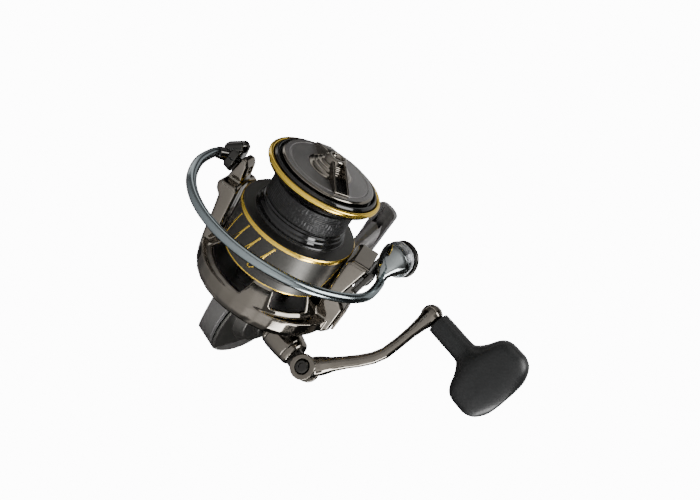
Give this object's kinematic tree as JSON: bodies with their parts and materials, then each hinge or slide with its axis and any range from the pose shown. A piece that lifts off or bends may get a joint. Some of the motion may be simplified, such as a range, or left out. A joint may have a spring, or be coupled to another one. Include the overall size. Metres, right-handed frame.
{
  "type": "spinning reel",
  "caption": "Front-drag spinning fishing reel with a folding crank and T-shaped knob, a rotor with a flip-over bail, a skirted spool and a rod foot.",
  "frame": {"origin": "middle of the foot's flat seat face, where the reel meets the rod", "axes": "+Z out of the seat face towards the rod, +X towards the rod tip along the spool axis, +Y towards the crank side"},
  "size_m": [0.1149, 0.143, 0.1171],
  "materials": {
    "black_chrome": "glossy dark chrome with warm reflections",
    "graphite_paint": "satin dark grey",
    "gold_anodised": "polished gold anodised",
    "bail_metal": "fine satin",
    "steel": "satin",
    "brass": "machined",
    "zinc": "die cast",
    "rubber": "embossed, matt",
    "soft_grip": "soft touch",
    "felt": "pressed fibre",
    "black_plastic": "moulded"
  },
  "bodies": {
    "casing": {"housing": "graphite_paint", "side_cover": "graphite_paint", "rear_cover": "graphite_paint", "crank_cap": "black_chrome", "drive_bearing_left": "steel", "drive_bearing_right": "steel", "pinion_bearing_front": "steel", "pinion_bearing_rear": "steel", "anti_reverse_clutch": "steel", "clutch_retainer": "steel", "slider_guide_rod": "steel"},
    "crank": {"drive_gear": "zinc", "crank_hub": "black_chrome"},
    "handle_arm": {"crank_arm": "black_chrome", "fold_pin": "steel", "knob_shaft": "steel", "knob_retainer": "steel"},
    "handle_knob": {"knob_grip": "soft_grip", "knob_cap": "black_plastic", "knob_bush_inner": "brass", "knob_bush_outer": "brass"},
    "rotor_group": {"rotor": "black_chrome", "rotor_nut": "brass", "rotor_lock_washer": "steel", "pinion_gear": "brass", "clutch_sleeve": "steel", "bail_spring": "steel", "bail_spring_cover": "black_chrome", "bail_trip_lever": "zinc", "bail_screw_left": "steel", "bail_screw_right": "steel"},
    "bail": {"bail_holder": "black_chrome", "bail_wire": "bail_metal", "bail_cone": "bail_metal", "bail_arm": "black_chrome", "roller_screw": "steel", "roller_bearing": "steel"},
    "roller": {"line_roller": "steel"},
    "oscillation": {"oscillation_gear": "zinc"},
    "shaft": {"main_shaft": "steel", "oscillation_slider": "zinc", "click_gear": "black_plastic"},
    "spool_group": {"spool": "graphite_paint", "spool_lip_ring": "gold_anodised", "line_sleeve": "rubber", "spool_bearing": "steel", "drag_felt_1": "felt", "drag_disc_1": "steel", "drag_felt_2": "felt", "drag_disc_2": "steel", "drag_felt_3": "felt", "drag_snap_ring": "steel", "click_pawl_pin": "steel"},
    "pawl": {"click_pawl": "black_plastic"},
    "drag": {"drag_knob": "black_chrome", "drag_nut": "brass", "drag_spring": "steel"}
  },
  "joints": [
    {"name": "crank_spin", "type": "hinge", "parent": "casing", "child": "crank", "pos_m": [-0.0323, 0, -0.0594], "axis": [0, 1, 0], "continuous": true},
    {"name": "handle_fold", "type": "hinge", "parent": "crank", "child": "handle_arm", "pos_m": [-0.0323, 0.0406, -0.0594], "axis": [0.6157, 0, -0.788], "range_deg": [0, 20]},
    {"name": "knob_spin", "type": "hinge", "parent": "handle_arm", "child": "handle_knob", "pos_m": [0.01443, 0.063, -0.02289], "axis": [0, 1, 0], "continuous": true},
    {"name": "rotor_spin", "type": "hinge", "parent": "casing", "child": "rotor_group", "pos_m": [-0.011, 0, -0.065], "axis": [1, 0, 0], "continuous": true},
    {"name": "bail_flip", "type": "hinge", "parent": "rotor_group", "child": "bail", "pos_m": [0.02368, 0, -0.065], "axis": [-0.1517, 0.8807, 0.4487], "range_deg": [-110, 0]},
    {"name": "line_roller_spin", "type": "hinge", "parent": "bail", "child": "roller", "pos_m": [0.0344, 0.039, -0.0462], "axis": [0, 0.1045, 0.9945], "continuous": true},
    {"name": "oscillation_spin", "type": "hinge", "parent": "casing", "child": "oscillation", "pos_m": [-0.0405, -0.006, -0.0697], "axis": [0, 1, 0], "continuous": true},
    {"name": "shaft_slide", "type": "slide", "parent": "casing", "child": "shaft", "axis": [1, 0, 0], "range_m": [0, 0.013]},
    {"name": "spool_spin", "type": "hinge", "parent": "shaft", "child": "spool_group", "pos_m": [0.026, 0, -0.065], "axis": [1, 0, 0], "continuous": true},
    {"name": "click_pawl_rock", "type": "hinge", "parent": "spool_group", "child": "pawl", "pos_m": [0.0167, 0, -0.052], "axis": [1, 0, 0], "range_deg": [-8, 8]},
    {"name": "drag_turn", "type": "hinge", "parent": "shaft", "child": "drag", "pos_m": [0.049, 0, -0.065], "axis": [1, 0, 0], "range_deg": [-360, 720]}
  ],
  "couplings": [
    {"joint": "rotor_spin", "follows": "crank_spin", "ratio": 5.1429},
    {"joint": "oscillation_spin", "follows": "crank_spin", "ratio": -0.5}
  ]
}
